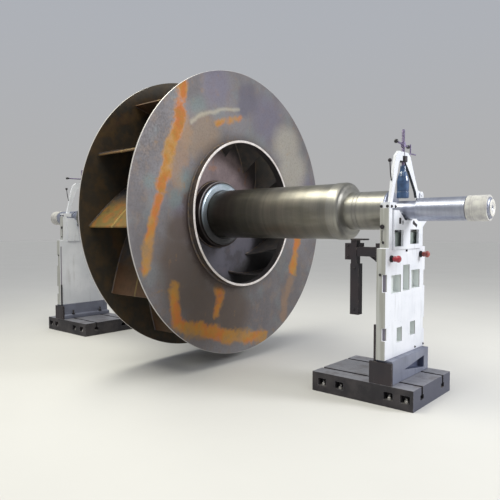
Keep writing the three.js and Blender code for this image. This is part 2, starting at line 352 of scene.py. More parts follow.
def add_node(tree, kind, inputs=(), **settings):
    """Add a shader node. Each input is a value, or a socket to link from."""
    made = tree.nodes.new("ShaderNode" + kind)
    for key, value in settings.items():
        setattr(made, key, value)
    for key, value in dict(inputs).items():
        if isinstance(value, bpy.types.NodeSocket):
            tree.links.new(value, made.inputs[key])
        else:
            made.inputs[key].default_value = value
    return made


class Look:
    """A material built up from a base colour. Its places are the model's own, in metres."""

    def __init__(self, name, metallic=0.0, specular=0.5, coat=0.0):
        self.material = bpy.data.materials.new(name)
        self.material.use_nodes = True
        self.tree = self.material.node_tree
        self.shader = self.tree.nodes["Principled BSDF"]
        even = {"Metallic": metallic, "Specular IOR Level": specular, "Coat Weight": coat}
        even["Coat Roughness"] = 0.08
        for socket, value in even.items():
            self.shader.inputs[socket].default_value = value
        self.place = self.node("TexCoord").outputs["Object"]
        self.x, self.y, self.z = self.node("SeparateXYZ", {"Vector": self.place}).outputs
        self.normal = self.node("NewGeometry").outputs["Normal"]
        self.facing = self.node("SeparateXYZ", {"Vector": self.normal}).outputs
        self.base = None
        self.heights = []

    def node(self, kind, inputs=(), **settings):
        return add_node(self.tree, kind, inputs, **settings)

    def math(self, operation, a, b=0.0):
        return self.node("Math", {0: a, 1: b}, operation=operation).outputs[0]

    def vector(self, operation, a, b):
        return self.node("VectorMath", {0: a, 1: b}, operation=operation).outputs[0]

    def measure(self, operation, a, b=(0, 0, 0)):
        """A length, a distance or a dot product."""
        return self.node("VectorMath", {0: a, 1: b}, operation=operation).outputs["Value"]

    def noise(self, size, detail=5, stretch=(1, 1, 1), rough=0.55, where=None):
        """Cloudy values from 0 to 1, with patches of about a size in metres."""
        scaled = self.vector("MULTIPLY", where or self.place, [s / size for s in stretch])
        inputs = {"Vector": scaled, "Scale": 1.0, "Detail": detail, "Roughness": rough}
        return self.node("TexNoise", inputs).outputs["Fac"]

    def over(self, value, low, high):
        """0 below low, 1 above high, and smooth between them."""
        inputs = {"Value": value, "From Min": low, "From Max": high}
        return self.node("MapRange", inputs, interpolation_type="SMOOTHSTEP").outputs["Result"]

    def under(self, value, low, high):
        return self.math("SUBTRACT", 1.0, self.over(value, low, high))

    def times(self, *values):
        return reduce(lambda a, b: self.math("MULTIPLY", a, b), values)

    def most(self, *values):
        return reduce(lambda a, b: self.math("MAXIMUM", a, b), values)

    def blend(self, share, a, b):
        """Number a, or b where share is 1."""
        return self.node("MapRange", {"Value": share, "To Min": a, "To Max": b}).outputs["Result"]

    def mix(self, share, a, b):
        """Colour a, or b where share is 1."""
        return self.node("Mix", {0: share, 6: a, 7: b}, data_type="RGBA").outputs[2]

    def mottled(self, value, low, high, a, b):
        """Colour a where a value is below low, and b where it is above high."""
        return self.mix(self.over(value, low, high), a, b)

    def paint(self, colour, *shares):
        """Lay a colour over the base, as strong as the product of the shares."""
        self.base = self.mix(self.times(*shares), self.base, colour)

    def size_of(self, value):
        return self.math("ABSOLUTE", value)

    def above_axis(self):
        return self.math("SUBTRACT", self.z, AXIS_Z)

    def off_axis(self):
        """The place as (0, y, z), seen from the shaft's axis."""
        return self.node("CombineXYZ", {"Y": self.y, "Z": self.above_axis()}).outputs[0]

    def from_axis(self):
        return self.measure("LENGTH", self.off_axis())

    def from_middle(self):
        """The distance along the shaft from the impeller's middle."""
        return self.size_of(self.math("SUBTRACT", self.x, IMPELLER_X))

    def turned_lines(self, size, detail=3):
        """Fine lines round the shaft's axis, as turning leaves them."""
        where = self.node("CombineXYZ", {"X": self.x, "Y": self.from_axis()}).outputs[0]
        return self.noise(size, detail=detail, rough=0.7, where=where)

    def edge(self, radius):
        """1 along sharp edges, 0 on flat faces."""
        wide = self.node("Bevel", {"Radius": radius}, samples=4).outputs["Normal"]
        return self.under(self.measure("DOT_PRODUCT", wide, self.normal), 0.86, 0.985)

    def stroke(self, points, width, where):
        """1 on a line through (y, z) points, fading out to 0 at twice a width from it."""
        gaps = []
        for start, end in zip(points, points[1:]):
            first = Vector((0, *start))
            run = Vector((0, *end)) - first
            offset = self.vector("SUBTRACT", where, first)
            scaled = {0: self.measure("DOT_PRODUCT", offset, run), 1: 1 / run.length_squared}
            share = self.node("Math", scaled, operation="MULTIPLY", use_clamp=True).outputs[0]
            reach = self.node("VectorMath", {0: run, "Scale": share}, operation="SCALE").outputs[0]
            gaps.append(self.measure("DISTANCE", offset, reach))
        nearest = reduce(lambda a, b: self.math("MINIMUM", a, b), gaps)
        return self.under(nearest, 0.0, width * 2)

    def patch(self, point, reach, where):
        """1 at a (y, z) point, fading out to 0 at a reach from it."""
        return self.under(self.measure("DISTANCE", where, (0, *point)), reach * 0.35, reach)

    def torn(self, value, grain, amount):
        """The same value with its edges broken up by a grain."""
        return self.over(self.math("ADD", value, self.blend(grain, -amount, amount)), 0.2, 0.9)

    def relief(self, height, depth):
        """Add a height in the surface, depth metres from lowest to highest."""
        self.heights.append((height, depth))

    def done(self, roughness):
        normal = None
        for height, depth in self.heights:
            inputs = {"Height": height, "Distance": depth, "Strength": 1.0}
            if normal is not None:
                inputs["Normal"] = normal
            normal = self.node("Bump", inputs).outputs["Normal"]
        for socket, value in (("Base Color", self.base), ("Roughness", roughness), ("Normal", normal)):
            if value is not None:
                self.tree.links.new(value, self.shader.inputs[socket])
        return self.material


# Stains on a rim disc, in shares of its radius from the shaft's axis.
# A stroke has a width, a strength and (y, z) points.
RUST_STROKES = {
    "upper streak": (0.044, 1.0, [
        (-0.562, 0.812), (-0.576, 0.709), (-0.585, 0.614), (-0.619, 0.514), (-0.657, 0.416), (-0.687, 0.332),
        (-0.708, 0.244), (-0.736, 0.162),
    ]),
    "lower streak": (0.036, 1.0, [
        (-0.761, 0.081), (-0.801, -0.017), (-0.837, -0.175), (-0.857, -0.265), (-0.873, -0.355),
    ]),
    "corner": (0.042, 1.0, [(-0.643, -0.47), (-0.644, -0.591), (-0.62, -0.696)]),
    "foot": (0.05, 1.0, [
        (-0.62, -0.696), (-0.525, -0.754), (-0.402, -0.785), (-0.152, -0.857), (0.127, -0.918),
        (0.251, -0.926),
    ]),
    "under the eye": (0.04, 0.9, [(-0.234, -0.54), (-0.234, -0.6), (-0.258, -0.69)]),
    "right": (0.042, 0.95, [(0.686, -0.191), (0.679, -0.306), (0.625, -0.462)]),
    "top": (0.026, 0.7, [(-0.248, 0.62), (-0.138, 0.644), (-0.012, 0.684)]),
}
FAINT_STROKES = {
    "halo": (0.09, 1.0, [(-0.56, 0.52), (-0.6, 0.36), (-0.66, 0.22)]),
    "lower right": (0.045, 1.0, [(0.6, -0.52), (0.557, -0.612), (0.504, -0.792)]),
}
PALE_ARC = [(-0.481, 0.588), (-0.427, 0.629), (-0.341, 0.667), (-0.211, 0.707), (-0.033, 0.744)]
# A painted shadow of the eye's ring on the disc, round the lower left of the eye
SHADOW_ARC = [
    (-0.505, 0.09), (-0.518, -0.045), (-0.471, -0.22), (-0.368, -0.368), (-0.22, -0.471), (-0.1, -0.51),
]

# Areas of another tone on a rim disc: a colour, a strength, and (y, z) points with their reaches
DISC_SPOTS = {
    "violet": (tone(105, 101, 120), 0.6, [
        ((-0.25, 0.87), 0.2), ((0.3, 0.73), 0.25), ((0.82, 0.2), 0.2), ((-0.5, -0.05), 0.2),
    ]),
    "teal": (tone(106, 128, 126), 0.4, [
        ((-0.83, 0.18), 0.07), ((-0.55, 0.2), 0.1), ((-0.62, 0.08), 0.08), ((-0.42, 0.7), 0.1),
    ]),
    "dark": (tone(92, 90, 104), 0.75, [((0.075, 0.83), 0.16), ((0.02, 0.76), 0.1)]),
    "pale": (tone(166, 161, 150), 0.7, [((0.62, 0.36), 0.26), ((0.66, 0.2), 0.18), ((0.55, 0.54), 0.24)]),
    "beige": (tone(134, 114, 94), 0.7, [((-0.354, 0.518), 0.2), ((-0.47, 0.47), 0.16)]),
    # Dark stains at the lower left, which also stand for a painted shadow of the near stand
    "brown_and_shadow": (tone(84, 72, 64), 0.85, [
        ((-0.52, -0.45), 0.36), ((-0.36, -0.66), 0.3), ((-0.62, -0.3), 0.24), ((-0.1, -0.7), 0.28),
        ((-0.6, -0.12), 0.16),
    ]),
}


def disc_look(name, turn_deg):
    """Bare rolled plate with mill tones, handling stains and rust streaks, with painted shade round the eye,
    on the inner face and at the lower left.
    """
    look = Look(name, metallic=0.3, specular=0.35)
    cloud = look.noise(0.5, detail=4)
    patch = look.noise(0.13, detail=6, rough=0.65)
    fine = look.noise(0.02, detail=5)
    grain = look.noise(0.16, detail=9, rough=0.72)
    hue = look.noise(0.24, detail=4)
    turn = {"Vector": look.off_axis(), "Angle": math.radians(turn_deg)}
    turned = look.node("VectorRotate", turn, rotation_type="X_AXIS").outputs[0]
    share = look.vector("MULTIPLY", turned, [1 / IMPELLER_R] * 3)
    wobble = look.node("TexNoise", {"Vector": share, "Scale": 6.0, "Detail": 4.0}).outputs["Color"]
    drift = look.vector("MULTIPLY", look.vector("SUBTRACT", wobble, (0.5, 0.5, 0.5)), (0, 0.07, 0.07))
    drawn = look.vector("ADD", share, drift)

    def strokes(table):
        drawings = [
            look.times(look.stroke(points, width, drawn), strength)
            for width, strength, points in table.values()
        ]
        return look.most(*drawings)

    # Mill tones and areas of another tone
    look.base = look.mottled(cloud, 0.35, 0.65, tone(102, 98, 100), tone(119, 116, 119))
    look.paint(tone(124, 110, 100), look.over(patch, 0.48, 0.66), 0.55)
    look.paint(tone(116, 124, 126), look.over(look.noise(0.3, detail=3), 0.52, 0.68), 0.4)
    for colour, strength, places in DISC_SPOTS.values():
        spots = [look.patch(point, reach, drawn) for point, reach in places]
        look.paint(colour, look.most(*spots), strength)
    look.paint(tone(92, 86, 86), look.over(fine, 0.45, 0.75), 0.3)

    # Rust
    rust = look.mottled(hue, 0.42, 0.6, tone(184, 130, 40), tone(188, 110, 44))
    rust = look.mix(look.times(look.over(grain, 0.45, 0.65), 0.6), rust, tone(152, 124, 52))
    thickness = look.blend(look.over(hue, 0.3, 0.55), 0.55, 0.95)
    rusty = look.times(look.torn(strokes(RUST_STROKES), grain, 1.2), thickness)
    look.paint(tone(150, 118, 88), look.torn(strokes(FAINT_STROKES), grain, 1.2), 0.5)
    look.paint(tone(184, 178, 156), look.stroke(PALE_ARC, 0.012, drawn), 0.45)
    look.paint(rust, rusty, 0.92)

    # Painted shade round the eye from its ring, a painted shadow of the ring at its lower left, the bright
    # cut edge of the rim, and painted shade on the inner face
    radius = look.from_axis()
    # Painted shade: the disc darkened in a band round the eye, where its ring shades it, broken up by cloud
    ring = look.under(radius, EYE_R * 1.01, EYE_R * 1.16)
    look.paint(tone(74, 66, 62), ring, look.blend(cloud, 0.35, 1.0), 0.75)
    # Painted shadow of the eye's ring at its lower left
    look.paint(tone(66, 54, 50), look.torn(look.stroke(SHADOW_ARC, 0.05, drawn), grain, 0.8), 0.7)
    look.paint(tone(196, 192, 190), look.over(radius, IMPELLER_R - 0.004, IMPELLER_R - 0.001))
    # Painted shade: the inner face, deep inside the wheel, painted dark
    inner_shade = look.mottled(grain, 0.40, 0.66, tone(60, 55, 46), tone(84, 69, 48))
    look.paint(inner_shade, look.under(look.from_middle(), DISC_IN + 0.001, DISC_IN + 0.004), 0.92)
    look.relief(patch, 0.0006)
    look.relief(fine, 0.0003)
    rough = look.blend(look.over(fine, 0.3, 0.7), 0.42, 0.6)
    return look.done(look.most(rough, look.times(rusty, 0.75)))


# Where painted light falls on the blades and makes their rust a lighter gold, as (y, z) from the shaft's axis
LIT_BLADE_PLACE = (-1.42, 0.05)
LIT_BLADE_REACH = 0.75


def blade_look():
    """Plate painted dark deep in the wheel as painted shade, and rust towards its rim that also stands for
    painted light.
    """
    look = Look("blade_steel", metallic=0.15, specular=0.3)
    cloud = look.noise(0.4, detail=4)
    patch = look.noise(0.1, detail=6, rough=0.65)
    # Painted light: lighter gold rust where the blades catch the light
    lit_blades = look.patch(LIT_BLADE_PLACE, LIT_BLADE_REACH, look.off_axis())
    gold = look.mottled(patch, 0.42, 0.62, tone(116, 100, 56), tone(142, 98, 50))
    rust = look.mix(lit_blades, look.mottled(cloud, 0.42, 0.6, tone(92, 68, 50), tone(78, 62, 46)), gold)
    freckles = look.over(look.noise(0.06, detail=5), 0.5, 0.7)
    rust = look.mix(look.times(freckles, 0.4), rust, tone(66, 50, 42))
    # Rust towards the rim, which also stands for painted light there
    radius = look.math("ADD", look.from_axis(), look.blend(patch, -0.1, 0.1))
    rusted_and_lit = look.over(radius, PLATE_R - 0.12, PLATE_R + 0.04)
    # Painted shade: the plate dark deep in the wheel
    look.base = look.mottled(patch, 0.42, 0.62, tone(72, 70, 71), tone(86, 80, 76))
    look.paint(rust, rusted_and_lit)
    # The weld seam along the blade's middle, with a painted highlight on it, strongest where the blades catch
    # the light
    seam = look.under(look.from_middle(), 0.006, 0.016)
    look.paint(tone(206, 188, 118), seam, rusted_and_lit, look.blend(lit_blades, 0.2, 0.4))
    look.relief(patch, 0.0008)
    return look.done(look.blend(patch, 0.5, 0.8))


def plate_look():
    """The centre plate: pinkish grey round the hub, with painted shadow below it and painted shade between
    the blades.
    """
    look = Look("centre_plate_steel", metallic=0.25, specular=0.35)
    cloud = look.noise(0.25, detail=5)
    fine = look.noise(0.02, detail=5)
    look.base = look.mottled(cloud, 0.35, 0.65, tone(142, 126, 127), tone(122, 108, 110))
    look.paint(tone(160, 116, 88), look.over(look.noise(0.12, detail=5), 0.56, 0.7), 0.5)
    look.paint(tone(88, 80, 82), look.over(fine, 0.45, 0.75), 0.3)
    # Painted shadow: a bluer, darker grey below the hub, where the barrel and stand shade the plate
    shadow_grey = look.mottled(cloud, 0.45, 0.6, tone(96, 97, 108), tone(80, 80, 87))
    look.paint(shadow_grey, look.under(look.above_axis(), -0.34, -0.12), 0.85)
    # Painted shade: the plate dark beyond the blades' heels, in passages that light doesn't reach
    radius = look.math("ADD", look.from_axis(), look.blend(cloud, -0.08, 0.08))
    look.paint(tone(66, 64, 64), look.over(radius, HEEL_R_AT_PLATE - 0.04, HEEL_R_AT_PLATE + 0.12), 0.9)
    look.relief(fine, 0.0003)
    return look.done(look.blend(fine, 0.42, 0.62))


def weld_look():
    """A weld bead with its ripples and heat tint."""
    look = Look("weld_bead", metallic=0.55, specular=0.5)
    ripple = look.noise(0.006, detail=2)
    look.base = look.mottled(look.noise(0.05), 0.4, 0.65, tone(96, 90, 92), tone(122, 104, 84))
    look.relief(ripple, 0.0016)
    return look.done(look.blend(ripple, 0.35, 0.6))


def roller_look():
    """Ground steel with its tool lines, oil film and handling marks."""
    look = Look("ground_roller", metallic=0.85, specular=0.5)
    grime_and_shade = tone(110, 108, 104)
    lines = look.turned_lines(0.004)
    bands = look.turned_lines(0.09, detail=4)
    smear = look.noise(0.14, detail=5, stretch=(0.35, 1, 1))
    look.base = look.mottled(bands, 0.35, 0.65, tone(178, 180, 184), tone(156, 158, 162))
    look.paint(grime_and_shade, look.over(smear, 0.5, 0.72), 0.55)
    look.paint(grime_and_shade, look.over(look.noise(0.012), 0.6, 0.75), 0.4)
    look.relief(lines, 0.0002)
    rough = look.blend(look.over(smear, 0.35, 0.7), 0.2, 0.38)
    return look.done(look.math("ADD", rough, look.times(lines, 0.08)))


def shaft_look():
    """One forging: a dull dark barrel and neck, then ground journals and stubs."""
    look = Look("turned_shaft", metallic=0.85, specular=0.5)
    reach = look.size_of(look.x)
    lines = look.turned_lines(0.004)
    banded = look.over(look.turned_lines(0.13, detail=4), 0.35, 0.65)
    smear = look.noise(0.16, detail=5, stretch=(0.35, 1, 1))
    ground = look.over(reach, NECK_END - 0.004, NECK_END + 0.004)
    look.base = look.mix(banded, tone(136, 133, 124), tone(118, 116, 110))
    neck = look.mix(banded, tone(152, 150, 142), tone(136, 134, 130))
    look.paint(neck, look.over(reach, BARREL_END - 0.005, BARREL_END + 0.005))
    look.paint(look.mix(banded, tone(172, 176, 190), tone(152, 156, 172)), ground)
    look.paint(tone(92, 90, 76), look.over(smear, 0.5, 0.7), look.blend(ground, 0.4, 0.2))
    look.paint(tone(70, 68, 62), look.over(look.noise(0.012), 0.6, 0.75), 0.3)
    # Painted shade: the barrel darker towards the wheel, which shades it
    look.paint(tone(84, 78, 68), look.under(look.from_middle(), 0.2, 0.95), 0.7)
    end = look.over(reach, BOSS_END - 0.006, BOSS_END - 0.002)
    look.paint(tone(214, 212, 206), end)
    look.paint(tone(60, 56, 56), end, look.under(look.from_axis(), 0.022, 0.026))
    look.relief(lines, 0.0002)
    rough = look.blend(look.over(smear, 0.35, 0.7), 0.28, 0.4)
    rough = look.math("ADD", rough, look.times(end, 0.25))
    return look.done(look.math("ADD", rough, look.times(lines, 0.08)))


def ring_look():
    """The eye's ring: dull, with walls painted dark as painted shade, darker still in the bore, and a bright
    machined lip.
    """
    look = Look("eye_ring_steel", metallic=0.3, specular=0.4)
    patch = look.noise(0.08, detail=5)
    bore_r = EYE_R - RING_WALL
    lip = look.over(look.from_middle(), RING_OUT - 0.006, RING_OUT - 0.003)
    # Painted shade: the ring's walls painted dark
    look.base = look.mottled(patch, 0.4, 0.65, tone(74, 68, 66), tone(96, 84, 76))
    look.paint(tone(56, 54, 56), look.under(look.from_axis(), bore_r + 0.002, bore_r + 0.006), 0.8)
    look.paint(look.mottled(patch, 0.35, 0.6, tone(236, 230, 228), tone(216, 208, 202)), lip)
    look.relief(look.turned_lines(0.003), 0.0002)
    return look.done(look.blend(lip, 0.55, 0.35))


def hub_look():
    """The hub: dark sides, with a face painted bluish white as a painted reflection, and painted shade low
    down.
    """
    look = Look("hub_steel", metallic=0.5, specular=0.5)
    patch = look.noise(0.08, detail=5)
    radius = look.from_axis()
    reach = look.from_middle()
    end = look.over(reach, HUB_HALF - 0.012, HUB_HALF - 0.009)
    # Painted reflection: the polished face painted bluish white
    face = look.times(end, look.under(radius, HUB_R - 0.03, HUB_R - 0.024))
    step = look.over(reach, HUB_HALF - 0.03, HUB_HALF - 0.026)
    corner = look.over(radius, HUB_R - 0.010, HUB_R - 0.005)
    # Painted shade: the hub darker low down, where the barrel shades it
    height = look.math("ADD", look.above_axis(), look.blend(patch, -0.05, 0.05))
    grime_and_shade = look.under(height, -0.20, 0.14)
    look.base = look.mottled(patch, 0.4, 0.65, tone(70, 66, 68), tone(90, 82, 78))
    look.paint(look.mottled(patch, 0.35, 0.65, tone(206, 218, 230), tone(184, 200, 208)), face)
    look.paint(tone(206, 200, 200), step, corner, 0.8)
    look.paint(tone(52, 44, 42), grime_and_shade, 0.92)
    look.relief(look.turned_lines(0.004), 0.0002)
    return look.done(look.math("ADD", look.blend(face, 0.5, 0.3), look.times(grime_and_shade, 0.3)))


def sleeve_look():
    """A matt sleeve of fibre or cast material."""
    look = Look("end_sleeve", specular=0.3)
    cloud = look.noise(0.05, detail=5)
    look.base = look.mottled(cloud, 0.35, 0.65, tone(204, 203, 197), tone(180, 178, 177))
    look.paint(tone(158, 154, 152), look.over(look.turned_lines(0.03), 0.5, 0.62), 0.6)
    look.relief(look.turned_lines(0.006), 0.0001)
    return look.done(look.blend(cloud, 0.45, 0.6))


WHITE = (tone(224, 226, 232), tone(210, 213, 220), tone(160, 160, 160))
BARE_IRON = tone(112, 106, 102)


def paint_look(name, fresh, aged, dirt, roughness=0.38, chips=0.5, bare=BARE_IRON, shades=None):
    """Workshop paint: a brushed film, dirt in runs and chipped edges. shades gives places of another tone."""
    look = Look(name, specular=0.45)
    cloud = look.noise(0.35, detail=4)
    grain = look.noise(0.012, detail=4)
    runs = look.noise(0.07, detail=5, stretch=(1, 1, 0.14))
    worn = look.times(look.edge(0.006), look.over(look.noise(0.025, detail=6), 0.5, 0.56), chips)
    look.base = look.mottled(cloud, 0.35, 0.7, fresh, aged)
    look.paint(dirt, look.over(runs, 0.56, 0.75), 0.35)
    look.paint(dirt, look.over(look.noise(0.02), 0.64, 0.74), 0.4)
    look.paint(bare, worn)
    for share, colour in shades(look) if shades else ():
        look.paint(colour, share)
    look.relief(grain, 0.00025)
    look.relief(look.math("SUBTRACT", 1.0, worn), 0.0004)
    return look.done(look.blend(look.over(runs, 0.4, 0.7), roughness, roughness + 0.2))


def column_look():
    """White paint, with painted shade on the narrow sides, dirt and painted shade in the windows, and painted
    shade in the edge pockets.
    """
    def shades(look):
        depth = look.size_of(look.x)
        breadth = look.size_of(look.y)
        low = look.under(look.z, WINDOWS_TOP, WINDOWS_TOP + 0.02)
        behind_face = look.times(look.under(depth, FRONT_X - 0.012, FRONT_X - 0.006), low)
        before_back = look.over(depth, BACK_X + 0.018, BACK_X + 0.021)
        # Dirt and painted shade: a darker, greener grey inside the windows
        window = look.times(behind_face, before_back, look.under(breadth, 0.33, 0.34))
        # Painted shade: a darker purple-grey in the edge pockets
        pocket_floor = look.over(breadth, COLUMN_HALF_W - 0.030, COLUMN_HALF_W - 0.027)
        pocket_mouth = look.under(breadth, COLUMN_HALF_W - 0.012, COLUMN_HALF_W - 0.006)
        pocket = look.times(behind_face, pocket_floor, pocket_mouth)
        # Painted shade: the narrow sides painted a striped grey
        side = look.over(look.size_of(look.facing["Y"]), 0.8, 0.95)
        stripes = look.noise(0.03, detail=3, stretch=(1, 1, 0.04))
        shaded_side = look.mottled(stripes, 0.4, 0.6, tone(158, 158, 152), tone(178, 179, 176))
        return (side, shaded_side), (window, tone(214, 219, 217)), (pocket, tone(134, 130, 142))

    return paint_look("column_paint", *WHITE, shades=shades)


def arch_look():
    """White paint, with painted shade along the inner edge of the swinging leg."""
    def shades(look):
        # Painted shade: the inward face of the swinging leg painted dark
        inward = look.under(look.facing["Y"], -0.6, -0.4)
        leg = look.times(look.over(look.y, 0.0, 0.02), look.over(look.z, ARCH_FOOT_Z, ARCH_FOOT_Z + 0.01))
        return ((look.times(inward, leg), tone(62, 66, 70)),)

    return paint_look("arch_paint", *WHITE, shades=shades)


def foot_look():
    """Grey-blue paint, with painted shade in the recess in the front."""
    def shades(look):
        depth = look.size_of(look.x)
        # Painted shade: a darker copy of the blue paint in the front recess
        recess = look.times(
            look.under(depth, FOOT_HIGH.x - 0.012, FOOT_HIGH.x - 0.006),
            look.over(depth, RECESS_BACK_X, RECESS_BACK_X + 0.005),
            look.under(look.size_of(look.y), RECESS_HALF_W - 0.002, RECESS_HALF_W + 0.002),
            look.under(look.z, RECESS_TOP, RECESS_TOP + 0.01),
            look.over(look.z, RECESS_FLOOR, RECESS_FLOOR + 0.005),
        )
        return ((recess, tone(78, 84, 106)),)

    fresh = tone(118, 122, 138)
    return paint_look("grey_blue_paint", fresh, tone(100, 103, 118), tone(76, 76, 84), shades=shades)


def bed_look():
    """Black painted cast iron with a machined top, dust on its level faces and painted light on its end
    faces.
    """
    look = Look("bed_iron", metallic=0.2, specular=0.45)
    upward = look.facing["Z"]
    top_height = look.over(look.z, BED_HIGH.z - 0.006, BED_HIGH.z - 0.002)
    top = look.times(look.over(upward, 0.6, 0.9), top_height)
    casting = look.noise(0.008, detail=4)
    grime_and_shade = look.noise(0.2, detail=6)
    milled = look.noise(0.005, detail=2, stretch=(0.05, 1, 1))
    steel = look.mottled(milled, 0.4, 0.65, tone(142, 142, 150), tone(112, 113, 120))
    marks = look.over(look.noise(0.12, detail=6), 0.48, 0.66)
    steel = look.mix(look.times(marks, 0.6), steel, tone(98, 92, 92))
    worn = look.times(look.edge(0.006), look.over(look.noise(0.03, detail=6), 0.42, 0.52))
    # Painted light: the outermost end faces, which face the light, painted a lighter blue-grey
    end_face = look.over(look.size_of(look.facing["X"]), 0.7, 0.9)
    outermost = look.over(look.size_of(look.x), BED_HIGH.x - 0.002, BED_HIGH.x - 0.001)
    look.base = look.mottled(grime_and_shade, 0.4, 0.65, tone(44, 42, 46), tone(66, 62, 64))
    look.paint(tone(120, 116, 110), look.over(upward, 0.4, 0.9), look.over(grime_and_shade, 0.4, 0.6), 0.5)
    look.paint(tone(84, 86, 100), end_face, outermost, look.blend(grime_and_shade, 0.7, 1.0))
    look.paint(steel, look.most(top, look.times(worn, 0.8)))
    look.relief(look.times(casting, look.math("SUBTRACT", 1.0, top)), 0.001)
    look.relief(look.times(milled, top), 0.0002)
    return look.done(look.blend(top, 0.62, 0.4))


def small_metal_look(name, light, dark, metallic=0.8, roughness=0.35):
    """Nuts, bolts and rods."""
    look = Look(name, metallic=metallic, specular=0.5)
    cloud = look.noise(0.015, detail=5)
    look.base = look.mottled(cloud, 0.4, 0.65, light, dark)
    look.paint(tone(170, 166, 162), look.edge(0.001), 0.5)
    look.relief(look.noise(0.002, detail=2), 0.0001)
    return look.done(look.blend(cloud, roughness, roughness + 0.25))


def gloss_look(name, colour, deep, coat=0.6, roughness=0.3):
    """Hard gloss enamel or plastic."""
    look = Look(name, specular=0.5, coat=coat)
    scuffs = look.over(look.noise(0.006, detail=5, stretch=(1, 1, 0.3)), 0.62, 0.72)
    look.base = look.mottled(look.noise(0.04, detail=4), 0.35, 0.7, colour, deep)
    look.paint(tone(150, 150, 156), scuffs, 0.35)
    look.relief(look.noise(0.003, detail=2), 0.00006)
    return look.done(look.blend(scuffs, roughness, roughness + 0.25))


def floor_look():
    """Matt floor with a faint cloudiness."""
    look = Look("studio_floor", specular=0.3)
    cloud = look.noise(1.4, detail=3)
    look.base = look.mottled(cloud, 0.3, 0.7, tone(204, 203, 200), tone(202, 201, 198))
    return look.done(look.blend(cloud, 0.65, 0.75))


NEAR_DISC = disc_look("near_disc_steel", 0)
FAR_DISC = disc_look("far_disc_steel", 140)
BLADE = blade_look()
CENTRE_PLATE = plate_look()
WELD = weld_look()
SHAFT_STEEL = shaft_look()
EYE_RING = ring_look()
HUB_STEEL = hub_look()
ROLLER_STEEL = roller_look()
SLEEVE = sleeve_look()
WHITE_PAINT = paint_look("white_paint", *WHITE)
COLUMN_PAINT = column_look()
ARCH_PAINT = arch_look()
FOOT_PAINT = foot_look()
DARK_PAINT = paint_look(
    "dark_paint", tone(46, 38, 42), tone(36, 34, 40), tone(66, 58, 62), 0.45, 0.9, tone(126, 118, 112)
)
WEB_PAINT = paint_look("web_paint", tone(136, 146, 140), tone(114, 122, 120), tone(78, 80, 80), 0.5, 0.3)
BED_IRON = bed_look()
BLUE_GLOSS = gloss_look("blue_enamel", tone(54, 84, 122), tone(38, 62, 96))
RED_GLOSS = gloss_look("red_knob", tone(168, 34, 52), tone(140, 24, 40))
ORANGE_GLOSS = gloss_look("orange_knob", tone(158, 66, 52), tone(118, 48, 46))
BLACK_GLOSS = gloss_look("black_handle", tone(30, 28, 32), tone(22, 20, 24), 0.3, 0.4)
DARK_BOLT = small_metal_look("dark_fixings", tone(58, 54, 58), tone(42, 40, 44), 0.6, 0.4)
BRIGHT_BOLT = small_metal_look("bright_fixings", tone(176, 174, 172), tone(146, 142, 138))
SPINDLE_STEEL = small_metal_look("spindle_steel", tone(128, 118, 146), tone(98, 90, 116), 0.6, 0.4)


# Rotor

ON_WHEEL = ON_AXIS @ Matrix.Translation((0, 0, IMPELLER_X))


def groove(start):
    """A shallow tool groove round the shaft's neck."""
    floor_r = NECK_R - 0.003
    return [(start, NECK_R), (start + 0.001, floor_r), (start + 0.007, floor_r), (start + 0.008, NECK_R)]


def shaft():
    """One forging: barrel, low collar, rounded shoulder, grooved neck, journal, stub and end boss."""
    half = [
        (BARREL_END, BARREL_R), (BARREL_END + 0.002, COLLAR_R), (2.028, COLLAR_R), (2.046, BARREL_R),
        (2.060, 0.255), (2.070, 0.225), (NECK_START, NECK_R), *groove(2.160), *groove(2.200),
        (NECK_END, NECK_R), (JOURNAL_START - 0.002, NECK_R - 0.010), (JOURNAL_START, JOURNAL_R),
        (STUB_START - 0.004, JOURNAL_R), (STUB_START, STUB_R), (SEAT_START - 0.002, STUB_R),
        (SEAT_START, SEAT_R), (BOSS_END - 0.016, SEAT_R), (BOSS_END - 0.012, 0.074), (BOSS_END, 0.070),
        (BOSS_END, 0.046), (BOSS_END - 0.003, 0.044), (BOSS_END - 0.003, 0.024), (BOSS_END - 0.012, 0.013),
        (BOSS_END - 0.018, 0.008), (BOSS_END - 0.018, 0.0),
    ]
    bm = turned(half_and_mirror(half), 0.0025, ON_AXIS, 128)
    piece("turned_shaft", bm, "rotor", SHAFT_STEEL, "bright_steel", "shaft")


def end_sleeves():
    bore = SEAT_R + BORE_GAP
    for end, sign in (("near", 1), ("far", -1)):
        low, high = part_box(f"{end}_end_sleeve")
        outer = high.z - AXIS_Z
        profile = [(low.x, bore), (low.x, outer), (high.x, outer), (high.x, bore)]
        bm = turned(profile, 0.003, ON_AXIS, 96, closed=True)
        piece(f"{end}_sleeve", bm, "rotor", SLEEVE, "sleeve_beige", f"{end}_end_sleeve")
        screws = bmesh.new()
        inner_end = low.x if sign > 0 else high.x
        for angle in circle(3):
            out = Vector((0, math.cos(angle), math.sin(angle)))
            point = Vector((inner_end + sign * 0.02, 0, AXIS_Z)) + out * (outer - 0.0045)
            socket_screw(screws, point, out, 0.004)
        piece(f"{end}_sleeve_screws", screws, "rotor", DARK_BOLT, "sleeve_beige")


def hub():
    """A stepped ring round the barrel, the same on both sides of the centre plate."""
    bore = BARREL_R + BORE_GAP
    side = [
        (PLATE_HALF + 0.014, HUB_R), (HUB_HALF - 0.030, HUB_R), (HUB_HALF - 0.024, HUB_R - 0.006),
        (HUB_HALF - 0.024, HUB_R - 0.022), (HUB_HALF - 0.008, HUB_R - 0.026), (HUB_HALF, HUB_R - 0.044),
        (HUB_HALF, bore + 0.012), (HUB_HALF - 0.008, bore),
    ]
    bm = turned(half_and_mirror(side), 0.004, ON_WHEEL, 128, closed=True)
    piece("turned_hub", bm, "rotor", HUB_STEEL, "bare_steel", "hub")


